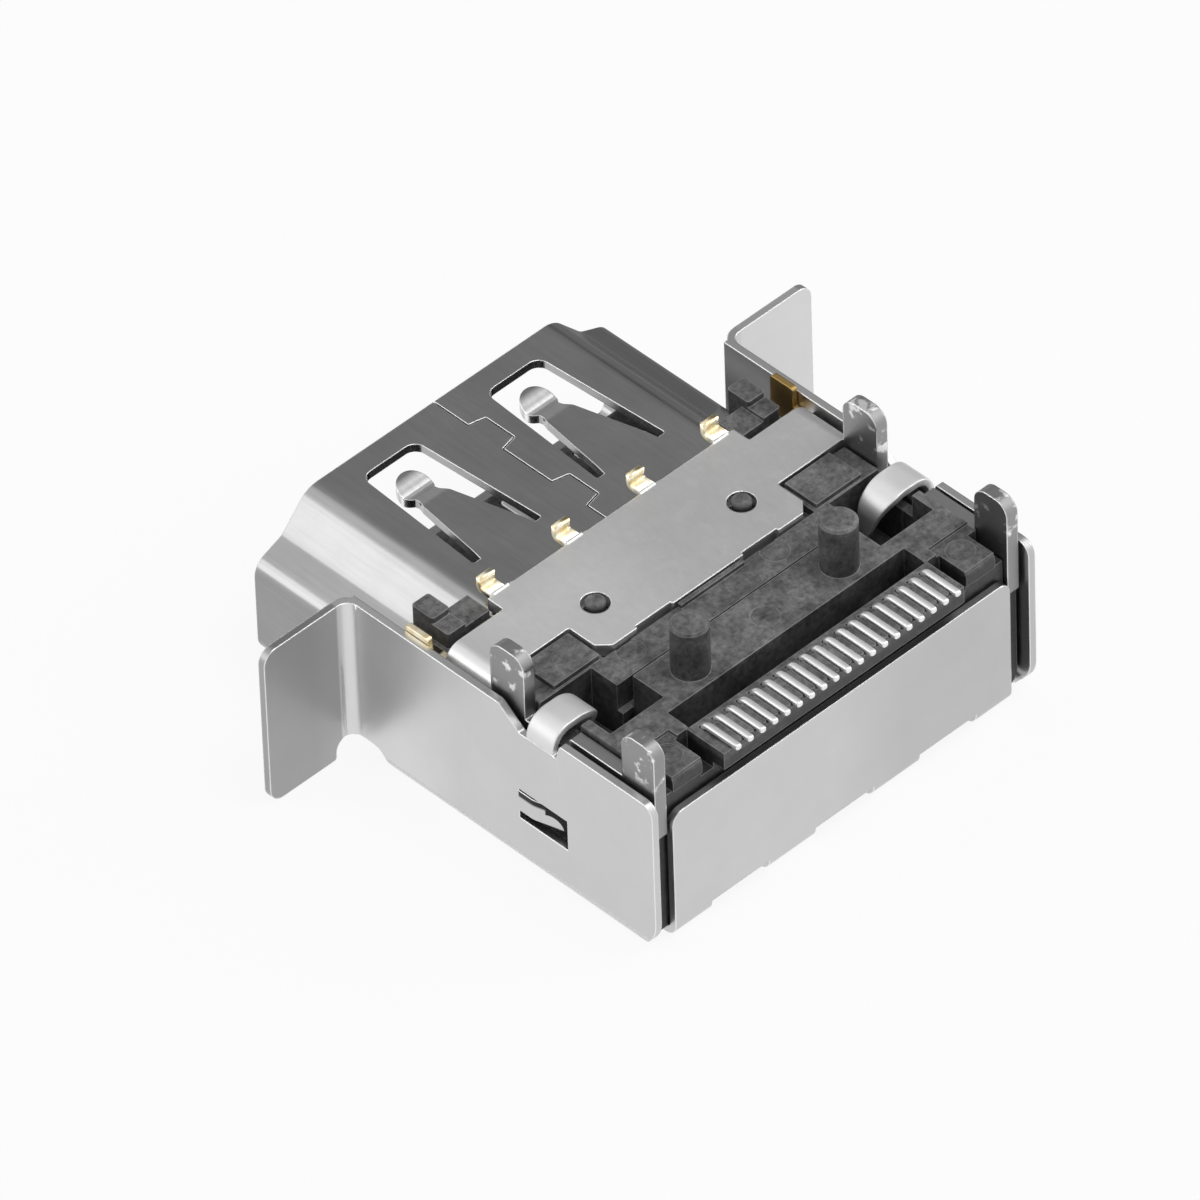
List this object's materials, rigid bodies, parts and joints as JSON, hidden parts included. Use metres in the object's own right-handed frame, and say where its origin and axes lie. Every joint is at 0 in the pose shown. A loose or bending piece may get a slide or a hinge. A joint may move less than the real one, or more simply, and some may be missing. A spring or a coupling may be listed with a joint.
{
  "type": "hdmi socket",
  "caption": "Board-mounted video socket with a folded outer shield, flanges, an inner plug shell, a grounding bracket with legs, locating pegs and one row of flat tails.",
  "frame": {"origin": "on the ground under the middle of the overall box, the socket lying on its flat cover", "axes": "+X across the socket, +Y from the plug mouth towards the contact tails, +Z from the cover towards the board side"},
  "size_m": [0.0224, 0.0176, 0.0079],
  "materials": {
    "outer_shield": "satin plated",
    "inner_shell": "satin plated",
    "ground_bracket": "finely brushed, plated",
    "housing": "fine moulded texture",
    "tail_holder": "fine moulded texture",
    "contacts": "tinned"
  },
  "bodies": {
    "root": {"outer_shield": "outer_shield", "inner_shell": "inner_shell", "ground_bracket": "ground_bracket", "housing": "housing", "tail_holder": "tail_holder", "contact_01": "contacts", "contact_02": "contacts", "contact_03": "contacts", "contact_04": "contacts", "contact_05": "contacts", "contact_06": "contacts", "contact_07": "contacts", "contact_08": "contacts", "contact_09": "contacts", "contact_10": "contacts", "contact_11": "contacts", "contact_12": "contacts", "contact_13": "contacts", "contact_14": "contacts", "contact_15": "contacts", "contact_16": "contacts", "contact_17": "contacts", "contact_18": "contacts", "contact_19": "contacts"}
  },
  "joints": []
}
